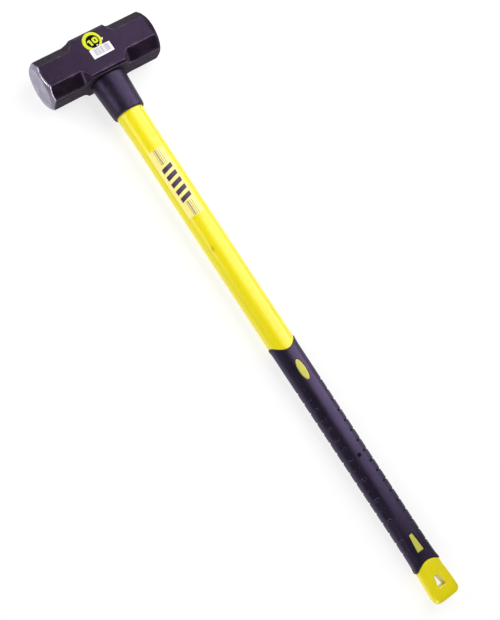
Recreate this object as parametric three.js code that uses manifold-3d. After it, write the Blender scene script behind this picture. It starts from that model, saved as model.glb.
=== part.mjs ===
// Sledgehammer lying on its side: forged double-faced head, fibreglass handle with a moulded jacket.
// Millimetres. X runs along the head, the handle leaves the head toward -Y, +Z is up.
// The group is lifted so that the lower side flat of the head lies on Z = 0.

import * as THREE from 'three';
import { toCreasedNormals } from 'three/addons/utils/BufferGeometryUtils.js';
import Module from 'manifold-3d';

const wasm = await Module();
wasm.setup();

// ---------------------------------------------------------------- driving dimensions (mm)
const GAP = 0.3;                 // clearance between bonded pieces

const HEAD = {
  half: 31.75,                   // half the distance across the flats
  flat: 15.9,                    // half width of one flat of the octagon
  cornerX: 84.7,                 // where the end bevel meets the octagon corners
  cornerR: 35.5,                 // radius of the octagon corners
  faceX: 90.6,                   // centre of a striking face
  rimX: 89.3,                    // rim of a striking face
  rimR: 29.3,                    // radius of a striking face
  crown: [[14, 90.3], [23, 89.9]],
  blockX: 27.5,                  // half length of the eye block at its outer corners
  flareX: 37.0,                  // half length of the eye block where it meets the corner cuts
  flareD: 9.5,                   // depth over which the block flares out
  blockCut: 3.4,                 // corner cut of the eye block
};

const EYE = {
  bottom: { p: 21.2, q: 18.0 },
  top: { p: 23.2, q: 20.0 },
  mouth: 1.6,                    // chamfer round both mouths
};

const TENON = { p: 19.6, q: 16.4, top: 31.2 };
const SLEEVE = { p: 20.4, q: 17.3 };   // jacket inside the collar
const SHAFT = { p: 19.7, q: 16.7 };    // bare shaft
const CORE = { p: 11.5, q: 8.5, top: 31.2, end: -800 };

// Outer surface of the yellow jacket: y, half width p, half thickness q, section exponent n.
const JACKET = [
  { y: TENON.top, p: TENON.p, q: TENON.q, n: 2.0 },
  { y: -30.0, p: TENON.p, q: TENON.q, n: 2.0 },
  { y: -36.0, p: SLEEVE.p, q: SLEEVE.q, n: 2.1 },
  { y: -92.0, p: SLEEVE.p, q: SLEEVE.q, n: 2.1 },
  { y: -125.0, p: SHAFT.p, q: SHAFT.q, n: 2.1 },
  { y: -470.0, p: SHAFT.p, q: SHAFT.q, n: 2.1 },
  { y: -600.0, p: 19.3, q: 16.4, n: 2.1 },
  { y: -740.0, p: 18.8, q: 15.1, n: 2.3 },
  { y: -790.0, p: 18.7, q: 13.8, n: 2.5 },
  { y: -815.0, p: 18.9, q: 12.5, n: 2.8 },
  { y: -834.0, p: 19.2, q: 11.4, n: 3.1 },
  { y: -842.0, p: 19.7, q: 10.8, n: 3.4 },
  { y: -854.0, p: 20.2, q: 10.0, n: 3.7 },
  { y: -865.0, p: 20.7, q: 9.4, n: 4.0 },
  { y: -870.0, p: 20.7, q: 9.0, n: 4.0 },
  { y: -873.5, p: 20.1, q: 8.4, n: 3.8 },
  { y: -876.0, p: 18.6, q: 7.5, n: 3.6 },
  { y: -877.5, p: 16.6, q: 6.3, n: 3.4 },
  { y: -878.0, p: 15.2, q: 5.2, n: 3.4 },
];

// Outer surface of the black grip, same columns.
const GRIP = [
  { y: -464.0, p: 20.7, q: 17.7, n: 2.1 },
  { y: -473.5, p: 20.7, q: 17.7, n: 2.1 },
  { y: -479.0, p: 20.1, q: 17.2, n: 2.1 },
  { y: -488.0, p: 19.8, q: 16.9, n: 2.1 },
  { y: -640.0, p: 19.5, q: 16.5, n: 2.1 },
  { y: -720.0, p: 19.3, q: 15.9, n: 2.2 },
  { y: -775.0, p: 19.1, q: 14.8, n: 2.4 },
  { y: -805.0, p: 19.2, q: 13.6, n: 2.6 },
  { y: -819.0, p: 19.5, q: 12.9, n: 2.8 },
  { y: -825.0, p: 20.3, q: 12.8, n: 2.9 },
  { y: -830.0, p: 20.4, q: 12.4, n: 3.0 },
  { y: -834.0, p: 19.9, q: 12.0, n: 3.0 },
];

const GRIP_ZONE = { start: -472.0, startScoop: 12.5, end: -829.0, endScoop: 9.0, halfWidth: 20.9 };
const GRIP_WALL = 2.6;           // thickness of the grip over the recessed jacket

const GROOVE = { first: -543.0, pitch: 15.93, count: 17, width: 3.0, depth: 1.1, inner: 8.0, spread: 4.5, fade: 3.0 };

const OVAL = { y: -518.5, halfLength: 16.3, halfWidth: 5.8 };
const WEDGE = { y0: -779.5, y1: -806.0, half0: 3.2, half1: 5.6 };
const PAD_DROP = 0.4;            // the jacket pads end just under the grip surface
const DIMPLE = { x: 0.5, y: -655.5, radius: 3.4, rise: 1.9 };

const COLLAR = [
  { y: -32.05, p: 26.0, q: 23.2, n: 2.1 },
  { y: -33.2, p: 26.8, q: 24.0, n: 2.1 },
  { y: -35.5, p: 26.7, q: 23.8, n: 2.1 },
  { y: -60.0, p: 25.5, q: 22.5, n: 2.1 },
  { y: -80.0, p: 24.5, q: 21.4, n: 2.1 },
  { y: -86.0, p: 24.1, q: 21.0, n: 2.1 },
  { y: -88.6, p: 23.3, q: 20.2, n: 2.1 },
  { y: -89.6, p: 22.2, q: 19.1, n: 2.1 },
];

const HOLE = { y0: -843.5, y1: -859.5, half0: 3.5, half1: 6.3, draft: 0.5, halfDepth: 14 };

const LABEL = { gap: 0.15, thick: 0.3 };
const WEIGHT_LABEL = { x: 0.4, y: 14.9, radius: 13.8 };
const BARCODE_LABEL = { x: 5.5, y: -2.7, width: 32.6, height: 14.6, turn: THREE.MathUtils.degToRad(1.0) };
const SHAFT_LABEL = { x0: -15.6, x1: 7.6, y0: -156.5, y1: -263.5 };

const LOOKS = {
  head: { color: 0x3a333f, roughness: 0.45, metalness: 0.6 },
  yellow: { color: 0xe6dc12, roughness: 0.35, metalness: 0 },
  fibreglass: { color: 0xcfc58a, roughness: 0.5, metalness: 0 },
  epoxy: { color: 0x4b4136, roughness: 0.3, metalness: 0 },
  black: { color: 0x25212a, roughness: 0.5, metalness: 0 },
  rubber: { color: 0x2b2631, roughness: 0.6, metalness: 0 },
  weightPaper: { color: 0xe9ee3a, roughness: 0.5, metalness: 0 },
  whitePaper: { color: 0xf2f2f4, roughness: 0.6, metalness: 0 },
  film: { color: 0xf3eeb4, roughness: 0.3, metalness: 0 },
};

const RING = 48;                 // points round one section of the handle
const AROUND = 96;               // points round the turned ends of the head

// ---------------------------------------------------------------- solids and meshes
function signedVolume(positions, triangles) {
  let sum = 0;
  const corner = (i) => new THREE.Vector3().fromArray(positions, 3 * triangles[i]);
  for (let i = 0; i < triangles.length; i += 3) {
    sum += corner(i).dot(corner(i + 1).cross(corner(i + 2)));
  }
  return sum / 6;
}

function solidFrom(geometry) {
  const flat = geometry.index ? geometry.toNonIndexed() : geometry;
  const source = flat.attributes.position;
  const lookup = new Map();
  const positions = [];
  const triangles = [];
  for (let i = 0; i < source.count; i += 1) {
    const point = [source.getX(i), source.getY(i), source.getZ(i)];
    const key = point.map((value) => Math.round(value * 1e4)).join(',');
    if (!lookup.has(key)) {
      lookup.set(key, lookup.size);
      positions.push(...point);
    }
    triangles.push(lookup.get(key));
  }
  const kept = [];
  for (let i = 0; i < triangles.length; i += 3) {
    const [a, b, c] = triangles.slice(i, i + 3);
    if (a !== b && b !== c && c !== a) kept.push(a, b, c);
  }
  if (signedVolume(positions, kept) < 0) kept.reverse();
  const vertProperties = new Float32Array(positions);
  return new wasm.Manifold(new wasm.Mesh({ numProp: 3, vertProperties, triVerts: new Uint32Array(kept) }));
}

function meshFrom(solid, name, look) {
  const data = solid.getMesh();
  const geometry = new THREE.BufferGeometry();
  geometry.setAttribute('position', new THREE.BufferAttribute(new Float32Array(data.vertProperties), 3));
  geometry.setIndex(new THREE.BufferAttribute(new Uint32Array(data.triVerts), 1));
  const shaded = toCreasedNormals(geometry, THREE.MathUtils.degToRad(28));
  const mesh = new THREE.Mesh(shaded, new THREE.MeshStandardMaterial(look));
  mesh.name = name;
  return mesh;
}

// Closed skin over a list of sections standing square to the Y axis.
function loft(sections, shave = () => 0) {
  const points = [];
  for (const { y, p, q, n } of sections) {
    for (let i = 0; i < RING; i += 1) {
      const angle = (2 * Math.PI * i) / RING;
      const c = Math.cos(angle);
      const s = Math.sin(angle);
      const x = p * Math.sign(c) * Math.abs(c) ** (2 / n);
      const z = q * Math.sign(s) * Math.abs(s) ** (2 / n);
      const keep = 1 - shave(x, y) / Math.hypot(x, z);
      points.push(x * keep, y, z * keep);
    }
  }
  const first = points.length / 3;
  points.push(0, sections[0].y, 0, 0, sections.at(-1).y, 0);
  const faces = [];
  for (let r = 0; r < sections.length - 1; r += 1) {
    for (let i = 0; i < RING; i += 1) {
      const a = r * RING + i;
      const b = r * RING + ((i + 1) % RING);
      faces.push(a, b, b + RING, a, b + RING, a + RING);
    }
  }
  const last = (sections.length - 1) * RING;
  for (let i = 0; i < RING; i += 1) {
    const j = (i + 1) % RING;
    faces.push(first, j, i, first + 1, last + i, last + j);
  }
  const geometry = new THREE.BufferGeometry();
  geometry.setAttribute('position', new THREE.Float32BufferAttribute(points, 3));
  geometry.setIndex(faces);
  return solidFrom(geometry);
}

function grown(sections, by) {
  return sections.map(({ y, p, q, n }) => ({ y, p: p + by, q: q + by, n }));
}

// Section of a surface between two listed stations.
function sectionAt(sections, y) {
  const next = sections.findIndex((s) => s.y <= y);
  const a = sections[Math.max(next - 1, 0)];
  const b = sections[Math.max(next, 0)];
  const t = a.y === b.y ? 0 : (y - a.y) / (b.y - a.y);
  const mix = (k) => THREE.MathUtils.lerp(a[k], b[k], t);
  return { y, p: mix('p'), q: mix('q'), n: mix('n') };
}

function straight(p, q, y0, y1, n = 2) {
  return loft([{ y: y0, p, q, n }, { y: y1, p, q, n }]);
}

function shapeOf(points) {
  return new THREE.Shape(points.map(([u, v]) => new THREE.Vector2(u, v)));
}

// Prism of a flat outline (u, v), pushed from low to high along w.
function prism(points, low, high, u, v, w) {
  const geometry = new THREE.ExtrudeGeometry(shapeOf(points), { depth: high - low, bevelEnabled: false });
  geometry.translate(0, 0, low);
  geometry.applyMatrix4(new THREE.Matrix4().makeBasis(u, v, w));
  return solidFrom(geometry);
}

const X = new THREE.Vector3(1, 0, 0);
const Y = new THREE.Vector3(0, 1, 0);
const Z = new THREE.Vector3(0, 0, 1);

function uprightPrism(points, low, high) {
  return prism(points, low, high, X, Y, Z);
}

// ---------------------------------------------------------------- head
function cutSquare(half, cut) {
  const flat = half - cut;
  return [
    [half, -flat], [half, flat], [flat, half], [-flat, half],
    [-half, flat], [-half, -flat], [-flat, -half], [flat, -half],
  ];
}

function turnedEnds() {
  const slope = (HEAD.rimX - HEAD.cornerX) / (HEAD.cornerR - HEAD.rimR);
  const outer = HEAD.cornerR + 6;
  const half = [
    [0, HEAD.faceX], ...HEAD.crown, [HEAD.rimR, HEAD.rimX],
    [outer, HEAD.cornerX - slope * (outer - HEAD.cornerR)],
  ];
  const mirrored = half.map(([r, x]) => [r, -x]).reverse();
  const profile = [...half, ...mirrored].map(([r, x]) => new THREE.Vector2(r, x));
  const geometry = new THREE.LatheGeometry(profile, AROUND);
  geometry.rotateZ(-Math.PI / 2);
  return solidFrom(geometry);
}

// The eye block widens in a hollow sweep where it runs into each corner cut.
function flareOutline() {
  const steps = 6;
  const side = [[HEAD.flareX, -6]];
  for (let i = 0; i <= steps; i += 1) {
    const t = i / steps;
    side.push([HEAD.blockX + (HEAD.flareX - HEAD.blockX) * (1 - t) ** 2, t * HEAD.flareD]);
  }
  side.push([HEAD.blockX, HEAD.flareD + 4]);
  return [...side, ...side.map(([x, d]) => [-x, d]).reverse()];
}

function eyeBlock() {
  const square = prism(cutSquare(HEAD.half, HEAD.blockCut), -HEAD.flareX, HEAD.flareX, Y, Z, X);
  const cutPlane = (HEAD.half + HEAD.flat) / Math.SQRT2;
  const outline = flareOutline().map(([x, d]) => [x, d + cutPlane]);
  let block = null;
  for (let k = 0; k < 4; k += 1) {
    const angle = (k + 0.5) * (Math.PI / 2);
    const out = new THREE.Vector3(0, Math.cos(angle), Math.sin(angle));
    const along = new THREE.Vector3().crossVectors(X, out);
    const corner = prism(outline, -40, 40, X, out, along).intersect(square);
    block = block ? block.add(corner) : corner;
  }
  return block;
}

function eyeHole(shrink = 0) {
  const { bottom, top, mouth } = EYE;
  const edge = HEAD.half;
  const at = (y, base, extra) => ({ y, p: base.p + extra - shrink, q: base.q + extra - shrink, n: 2.1 });
  return loft([
    at(edge + 1, top, mouth + 1), at(edge - mouth, top, 0),
    at(-edge + mouth, bottom, 0), at(-edge - 1, bottom, mouth + 1),
  ]);
}

function makeHead() {
  const octagon = cutSquare(HEAD.half, HEAD.half - HEAD.flat);
  const bar = prism(octagon, -HEAD.faceX - 2, HEAD.faceX + 2, Y, Z, X).intersect(turnedEnds());
  return meshFrom(bar.add(eyeBlock()).subtract(eyeHole()), 'head', LOOKS.head);
}

// ---------------------------------------------------------------- handle
// Everything nearer the butt than an edge that is scooped by some depth in the middle.
function beyondScoop(edge, depth) {
  const steps = 18;
  const curve = [];
  for (let i = 0; i <= steps; i += 1) {
    const t = (2 * i) / steps - 1;
    curve.push([GRIP_ZONE.halfWidth * t, edge + depth * (1 - t * t)]);
  }
  const far = -1200;
  return uprightPrism([[-40, far], [-40, edge], ...curve, [40, edge], [40, far]], -40, 40);
}

function gripZone(inset) {
  const start = beyondScoop(GRIP_ZONE.start - inset, -GRIP_ZONE.startScoop);
  const end = beyondScoop(GRIP_ZONE.end + inset, GRIP_ZONE.endScoop);
  return start.subtract(end);
}

function ovalOutline(extra) {
  const count = 28;
  return Array.from({ length: count }, (_, i) => {
    const angle = (2 * Math.PI * i) / count;
    return [
      (OVAL.halfWidth + extra) * Math.cos(angle),
      OVAL.y + (OVAL.halfLength + extra) * Math.sin(angle),
    ];
  });
}

function wedgeOutline(extra) {
  const { y0, y1, half0, half1 } = WEDGE;
  const cut = 0.9;
  return [
    [-half1 - extra, y1 + cut - extra], [-half1 + cut - extra, y1 - extra],
    [half1 - cut + extra, y1 - extra], [half1 + extra, y1 + cut - extra],
    [half0 + extra, y0 - cut + extra], [half0 - cut + extra, y0 + extra],
    [-half0 + cut - extra, y0 + extra], [-half0 - extra, y0 - cut + extra],
  ];
}

function windowPrisms(extra) {
  return uprightPrism(ovalOutline(extra), -30, 30).add(uprightPrism(wedgeOutline(extra), -30, 30));
}

function grooveShave(x, y) {
  const nearest = Math.round((GROOVE.first - y) / GROOVE.pitch);
  if (nearest < 0 || nearest >= GROOVE.count) return 0;
  const offset = Math.abs(GROOVE.first - nearest * GROOVE.pitch - y) / (GROOVE.width / 2);
  if (offset >= 1) return 0;
  const middle = (GROOVE.count - 1) / 2;
  const away = Math.abs(nearest - middle) / middle;
  const inner = GROOVE.inner + GROOVE.spread * away ** 2;
  const side = THREE.MathUtils.smoothstep(Math.abs(x), inner, inner + GROOVE.fade);
  return GROOVE.depth * (1 - offset) * side;
}

function gripSections() {
  const stations = GRIP.map((s) => s.y);
  for (let i = 0; i < GROOVE.count; i += 1) {
    const y = GROOVE.first - i * GROOVE.pitch;
    stations.push(y + GROOVE.width / 2, y, y - GROOVE.width / 2);
  }
  return stations.sort((a, b) => b - a).map((y) => sectionAt(GRIP, y));
}

function recess(extra) {
  const stations = [-464, -545, -640, -720, -775, -805, -834];
  return loft(grown(stations.map((y) => sectionAt(GRIP, y)), extra - GRIP_WALL));
}

function makeGrip() {
  const { x, y, radius, rise } = DIMPLE;
  const bowl = new THREE.SphereGeometry(radius, 20, 14);
  bowl.translate(x, y, sectionAt(GRIP, y).q + rise);
  const grip = loft(gripSections(), grooveShave)
    .intersect(gripZone(GAP / 2))
    .subtract(recess(GAP / 2))
    .subtract(windowPrisms(GAP / 2))
    .subtract(solidFrom(bowl));
  return meshFrom(grip, 'grip', LOOKS.rubber);
}

// Keystone hole through the butt, drafted toward the mid plane from both sides.
function hangHole() {
  const { y0, y1, half0, half1, draft, halfDepth } = HOLE;
  const ring = (z, grow) => [
    [-half1 - grow, y1 - grow, z], [half1 + grow, y1 - grow, z],
    [half0 + grow, y0 + grow, z], [-half0 - grow, y0 + grow, z],
  ];
  const points = [...ring(-halfDepth, draft), ...ring(0, 0), ...ring(halfDepth, draft)].flat();
  const faces = [0, 2, 1, 0, 3, 2, 8, 9, 10, 8, 10, 11];
  for (const base of [0, 4]) {
    for (let i = 0; i < 4; i += 1) {
      const j = (i + 1) % 4;
      faces.push(base + i, base + j, base + j + 4, base + i, base + j + 4, base + i + 4);
    }
  }
  const geometry = new THREE.BufferGeometry();
  geometry.setAttribute('position', new THREE.Float32BufferAttribute(points, 3));
  geometry.setIndex(faces);
  return solidFrom(geometry);
}

function makeJacket() {
  const inner = recess(-GAP / 2).intersect(gripZone(-1));
  const pads = loft(grown(gripSections(), -PAD_DROP)).intersect(windowPrisms(-GAP / 2));
  const jacket = loft(JACKET)
    .subtract(gripZone(-GAP / 2))
    .add(inner)
    .add(pads)
    .subtract(straight(CORE.p + GAP, CORE.q + GAP, 60, CORE.end - GAP))
    .subtract(hangHole());
  return meshFrom(jacket, 'handle_jacket', LOOKS.yellow);
}

function makeCore() {
  return meshFrom(straight(CORE.p, CORE.q, CORE.top, CORE.end), 'handle_core', LOOKS.fibreglass);
}

function makeCollar() {
  const bore = straight(SLEEVE.p + GAP, SLEEVE.q + GAP, 0, -120, 2.1);
  return meshFrom(loft(COLLAR).subtract(bore), 'collar', LOOKS.black);
}

function makeEpoxy() {
  const slab = straight(60, 60, TENON.top, -HEAD.half + EYE.mouth + GAP, 8);
  const ring = eyeHole(GAP).intersect(slab).subtract(straight(TENON.p + GAP, TENON.q + GAP, 60, -60));
  return meshFrom(ring, 'eye_epoxy', LOOKS.epoxy);
}

// ---------------------------------------------------------------- labels
function barcodeOutline(extra) {
  const { x, y, width, height, turn } = BARCODE_LABEL;
  const corners = [[-1, -1], [1, -1], [1, 1], [-1, 1]];
  return corners.map(([i, j]) => {
    const u = i * (width / 2 + extra);
    const v = j * (height / 2 + extra);
    return [x + u * Math.cos(turn) - v * Math.sin(turn), y + u * Math.sin(turn) + v * Math.cos(turn)];
  });
}

function makeHeadLabels() {
  const low = HEAD.half + LABEL.gap;
  const high = low + LABEL.thick;
  const { x, y, radius } = WEIGHT_LABEL;
  const circle = Array.from({ length: 48 }, (_, i) => {
    const angle = (2 * Math.PI * i) / 48;
    return [x + radius * Math.cos(angle), y + radius * Math.sin(angle)];
  });
  const covered = uprightPrism(barcodeOutline(LABEL.gap), low - 1, high + 1);
  const disc = uprightPrism(circle, low, high).subtract(covered);
  return [
    meshFrom(disc, 'weight_label', LOOKS.weightPaper),
    meshFrom(uprightPrism(barcodeOutline(0), low, high), 'barcode_label', LOOKS.whitePaper),
  ];
}

function makeShaftLabel() {
  const { x0, x1, y0, y1 } = SHAFT_LABEL;
  const skin = (by) => straight(SHAFT.p + by, SHAFT.q + by, y0, y1, 2.1);
  const window = uprightPrism([[x0, y1], [x1, y1], [x1, y0], [x0, y0]], 0, 40);
  const film = skin(LABEL.gap + LABEL.thick).subtract(skin(LABEL.gap)).intersect(window);
  return meshFrom(film, 'shaft_label', LOOKS.film);
}

// ---------------------------------------------------------------- assembly
function assemble() {
  const headGroup = new THREE.Group();
  headGroup.name = 'head_group';
  headGroup.add(makeHead(), makeEpoxy(), ...makeHeadLabels());

  const handleGroup = new THREE.Group();
  handleGroup.name = 'handle_group';
  handleGroup.add(makeCore(), makeJacket(), makeCollar(), makeGrip(), makeShaftLabel());

  const hammer = new THREE.Group();
  hammer.name = 'sledgehammer';
  hammer.add(headGroup, handleGroup);
  hammer.position.z = HEAD.half;
  return hammer;
}

export default assemble();
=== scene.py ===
"""Looks of the sledgehammer: detailed pieces, materials, floor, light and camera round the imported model."""

import math

import bmesh
import bpy
import numpy as np
from mathutils import Matrix, Vector


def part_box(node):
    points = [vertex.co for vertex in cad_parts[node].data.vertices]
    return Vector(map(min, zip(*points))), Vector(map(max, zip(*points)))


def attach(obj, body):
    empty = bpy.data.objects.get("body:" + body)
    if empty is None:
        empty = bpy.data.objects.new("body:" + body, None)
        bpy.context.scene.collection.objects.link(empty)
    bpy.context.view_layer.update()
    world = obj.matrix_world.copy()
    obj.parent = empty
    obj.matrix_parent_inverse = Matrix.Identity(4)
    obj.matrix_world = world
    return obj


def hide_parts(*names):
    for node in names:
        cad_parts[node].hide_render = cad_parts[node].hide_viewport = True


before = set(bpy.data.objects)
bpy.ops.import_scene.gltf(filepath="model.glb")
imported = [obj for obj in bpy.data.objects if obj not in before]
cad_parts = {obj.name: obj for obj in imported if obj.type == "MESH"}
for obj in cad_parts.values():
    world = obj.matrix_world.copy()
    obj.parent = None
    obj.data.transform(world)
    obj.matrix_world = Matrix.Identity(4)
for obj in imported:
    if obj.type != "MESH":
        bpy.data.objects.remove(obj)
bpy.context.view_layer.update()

# ------------------------------------------------------------------ sizes
# Lengths are in millimetres about the handle axis: X along the head, the handle toward -Y, +Z up.
MM = 0.001


def box_mm(node):
    low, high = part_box(node)
    return np.array(low) / MM, np.array(high) / MM


HEAD_LOW, HEAD_HIGH = box_mm("head")
HALF = float(HEAD_HIGH[1])  # half the distance across the flats of the head
AXIS_Z = float(HEAD_HIGH[2] + HEAD_LOW[2]) / 2  # height of the handle axis
FACE_X = float(HEAD_HIGH[0])  # middle of a striking face

FLAT = 15.9  # half width of one flat of the octagon
BLOCK_CUT = 3.4  # corner cut of the eye block
BLOCK_X, FLARE_X, FLARE_DEPTH = 27.5, 37.0, 9.5
CORNER_X, CORNER_R = 84.7, 35.5
RIM_X, RIM_R = 89.3, 29.3
EDGE_SOFT = 0.9  # tangent length of the rounded long edges
FACE_EDGE_SOFT = 1.5  # tangent length of the rounding where a face bevel starts
BAR_END = 79.0  # where the plain octagon gives way to the rows of a face
SHOULDER_DROP, FOOT_RISE, FOOT_LENGTH = 1.2, 0.8, 1.8  # roundings at the two ends of a hollow shoulder

EYE_BOTTOM, EYE_TOP, EYE_MOUTH = (21.2, 18.0), (23.2, 20.0), 1.6

TENON_TOP = 31.2
RESIN_TOP, RESIN_BOTTOM, RESIN_DIP, RESIN_GAP = 31.0, -29.8, 0.8, 0.08
CORE_P, CORE_Q, CORE_END = 11.5, 8.5, -800.0
SKIN_GAP = 0.15  # half the gap between bonded pieces

# Outer surfaces along the handle: y, half width, half thickness, section exponent.
JACKET = np.array([
    (31.2, 19.6, 16.4, 2.0), (-30, 19.6, 16.4, 2.0), (-36, 20.4, 17.3, 2.1), (-92, 20.4, 17.3, 2.1),
    (-125, 19.7, 16.7, 2.1), (-470, 19.7, 16.7, 2.1), (-600, 19.3, 16.4, 2.1), (-740, 18.8, 15.1, 2.3),
    (-790, 18.7, 13.8, 2.5), (-815, 18.9, 12.5, 2.8), (-834, 19.2, 11.4, 3.1), (-842, 19.7, 10.8, 3.4),
    (-854, 20.2, 10.0, 3.7), (-865, 20.7, 9.4, 4.0), (-870, 20.7, 9.0, 4.0), (-873.5, 20.1, 8.4, 3.8),
    (-876, 18.6, 7.5, 3.6), (-877.5, 16.6, 6.3, 3.4), (-878, 15.2, 5.2, 3.4),
])
GRIP = np.array([
    (-464, 20.7, 17.7, 2.1), (-473.5, 20.7, 17.7, 2.1), (-479, 20.1, 17.2, 2.1), (-488, 19.8, 16.9, 2.1),
    (-640, 19.5, 16.5, 2.1), (-720, 19.3, 15.9, 2.2), (-775, 19.1, 14.8, 2.4), (-805, 19.2, 13.6, 2.6),
    (-819, 19.5, 12.9, 2.8), (-825, 20.3, 12.8, 2.9), (-830, 20.4, 12.4, 3.0), (-834, 19.9, 12.0, 3.0),
])
COLLAR = np.array([
    (-32.05, 26.0, 23.2, 2.1), (-33.2, 26.8, 24.0, 2.1), (-35.5, 26.7, 23.8, 2.1), (-60, 25.5, 22.5, 2.1),
    (-80, 24.5, 21.4, 2.1), (-86, 24.1, 21.0, 2.1), (-88.6, 23.3, 20.2, 2.1), (-89.6, 22.2, 19.1, 2.1),
])
SLEEVE = (20.4, 17.3)  # half width and half thickness of the jacket inside the collar
SHAFT_END = -455.0  # where the plain shaft gives way to the scooped edge at the grip
BUTT_START, BUTT_ROUND = -838.0, -869.0  # where the butt's plain sides and its rounded end start

GRIP_START, START_SCOOP = -472.0, 12.5
GRIP_END, END_SCOOP = -829.0, 9.0
SCOOP_HALF_WIDTH = 20.9
GRIP_WALL = 2.6
GROOVE_FIRST, GROOVE_PITCH, GROOVE_COUNT = -543.0, 15.93, 17
GROOVE_WIDTH, GROOVE_DEPTH = 2.9, 1.25
GROOVE_INNER, GROOVE_SPREAD, GROOVE_FADE = 8.6, 4.5, 1.8
PLAIN_FROM, GROOVED_FROM, GROOVED_TO = -492.0, -540.0, -801.5  # stretches of the grip
PAD_DROP, PAD_GAP, PAD_SOFT = 0.4, 0.3, 0.6  # a pad below the grip's surface, clear of its window, rounded
WINDOW_SOFT, WINDOW_FLOOR = 0.45, 4.0  # flare of a window's edge; height where its cutter starts
OVAL_Y, OVAL_LENGTH, OVAL_WIDTH = -518.5, 16.3, 5.8  # half length and half width
WEDGE_Y0, WEDGE_Y1, WEDGE_HALF0, WEDGE_HALF1 = -779.5, -806.0, 3.2, 5.6
DIMPLE = (0.5, -655.5, 3.3, 1.15)  # x, y, radius, height of its centre over the surface
HOLE_Y0, HOLE_Y1, HOLE_HALF0, HOLE_HALF1 = -843.5, -859.5, 3.5, 6.3
HOLE_SOFT = 1.1  # flare of the hang hole's edge
MARK = (-12.0, -315.5, 1.3, 1.0)  # small speck on the shaft: x, y, half width, half length

BARCODE_SIZE, BARCODE_TURN = (32.6, 14.6), 1.0  # millimetres and degrees
DISC_RADIUS, DISC_SHIFT, DISC_TURN = 9.5, (0.7, -0.7), 9  # black middle of the weight label, in degrees
BAR_COUNT, BAR_FIRST, BAR_PITCH, BAR_SLANT = 5, -187.5, 11.8, 0.28  # plain bars on the shaft label

RING = 144  # points round one section of the handle
TURNS = 2 * np.pi * np.arange(RING) / RING


# ------------------------------------------------------------------ sections and surfaces
def between(table, y):
    """Smooth values of a table's columns at y, without overshoot."""
    x, values = -table[:, 0], table[:, 1:]
    step = np.diff(x)[:, None]
    slope = np.diff(values, axis=0) / step
    product = slope[:-1] * slope[1:]
    tangent = np.zeros_like(values)
    tangent[1:-1] = np.where(product > 0, 2 * product / np.where(product > 0, slope[:-1] + slope[1:], 1), 0)
    at = np.clip(-np.asarray(y, float), x[0], x[-1])
    k = np.clip(np.searchsorted(x, at) - 1, 0, len(x) - 2)
    h = step[k]
    t = ((at - x[k]) / h[..., 0])[..., None]
    a, b, m, n = values[k], values[k + 1], tangent[k] * h, tangent[k + 1] * h
    mixed = a * (1 + 2 * t) * (1 - t) ** 2 + b * t * t * (3 - 2 * t)
    mixed = mixed + m * t * (1 - t) ** 2 - n * t * t * (1 - t)
    return np.moveaxis(mixed, -1, 0)


def section(p, q, n, turns=TURNS):
    """Superellipse points at even angles."""
    c, s = np.cos(turns), np.sin(turns)
    r = (np.abs(c / p) ** n + np.abs(s / q) ** n) ** (-1 / n)
    return r * c, r * s


def ring(y, p, q, n=2.0):
    x, z = section(p, q, n)
    return np.stack([x, np.broadcast_to(y, x.shape), z], -1)


def skin(table, y, inset=0.0):
    """One ring on a surface of the handle; y may differ from point to point."""
    p, q, n = between(table, np.broadcast_to(y, TURNS.shape))
    x, z = section(p - inset, q - inset, n)
    return np.stack([x, np.broadcast_to(y, x.shape), z], -1)


def height(table, x, y):
    """Height of a handle surface over the axis."""
    p, q, n = between(table, y)
    return q * np.clip(1 - np.abs(x / p) ** n, 0, 1) ** (1 / n)


def jacket_top(x, y):
    return height(JACKET, x, y)


def grip_top(x, y):
    return height(GRIP, x, y)


def scoop(edge, depth, table):
    """The y of a scooped edge for each point of a ring."""
    x = section(*between(table, edge))[0]
    t = np.clip(np.abs(x) / SCOOP_HALF_WIDTH, 0, 1)
    return edge + depth * (1 - t * t)


def rounding(count=5):
    """Pairs of shares (across, along) of a quarter round, from the end wall to the side."""
    a = np.linspace(0, np.pi / 2, count)
    return list(zip(1 - np.sin(a), 1 - np.cos(a)))


def bend(p0, p1, p2, count):
    """Points of a curve from p0 to p2 that leaves along p1 at both ends."""
    t = np.linspace(0, 1, count)[:, None]
    return (1 - t) ** 2 * np.array(p0) + 2 * t * (1 - t) * np.array(p1) + t * t * np.array(p2)


# ------------------------------------------------------------------ meshes
def tube(rows, loop=False):
    """Faces over a list of rings: closed on itself, or with a fan at each end."""
    count = len(rows[0])
    points = np.concatenate(rows)
    i = np.arange(count)
    j = (i + 1) % count
    faces = []
    for r in range(len(rows) if loop else len(rows) - 1):
        a, b = r * count, ((r + 1) % len(rows)) * count
        faces += np.stack([a + i, a + j, b + j, b + i], 1).tolist()
    if not loop:
        first, last = len(points), (len(rows) - 1) * count
        points = np.concatenate([points, rows[0].mean(0)[None], rows[-1].mean(0)[None]])
        faces += [[first, b, a] for a, b in zip(i.tolist(), j.tolist())]
        faces += [[first + 1, last + a, last + b] for a, b in zip(i.tolist(), j.tolist())]
    return points, faces


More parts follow.
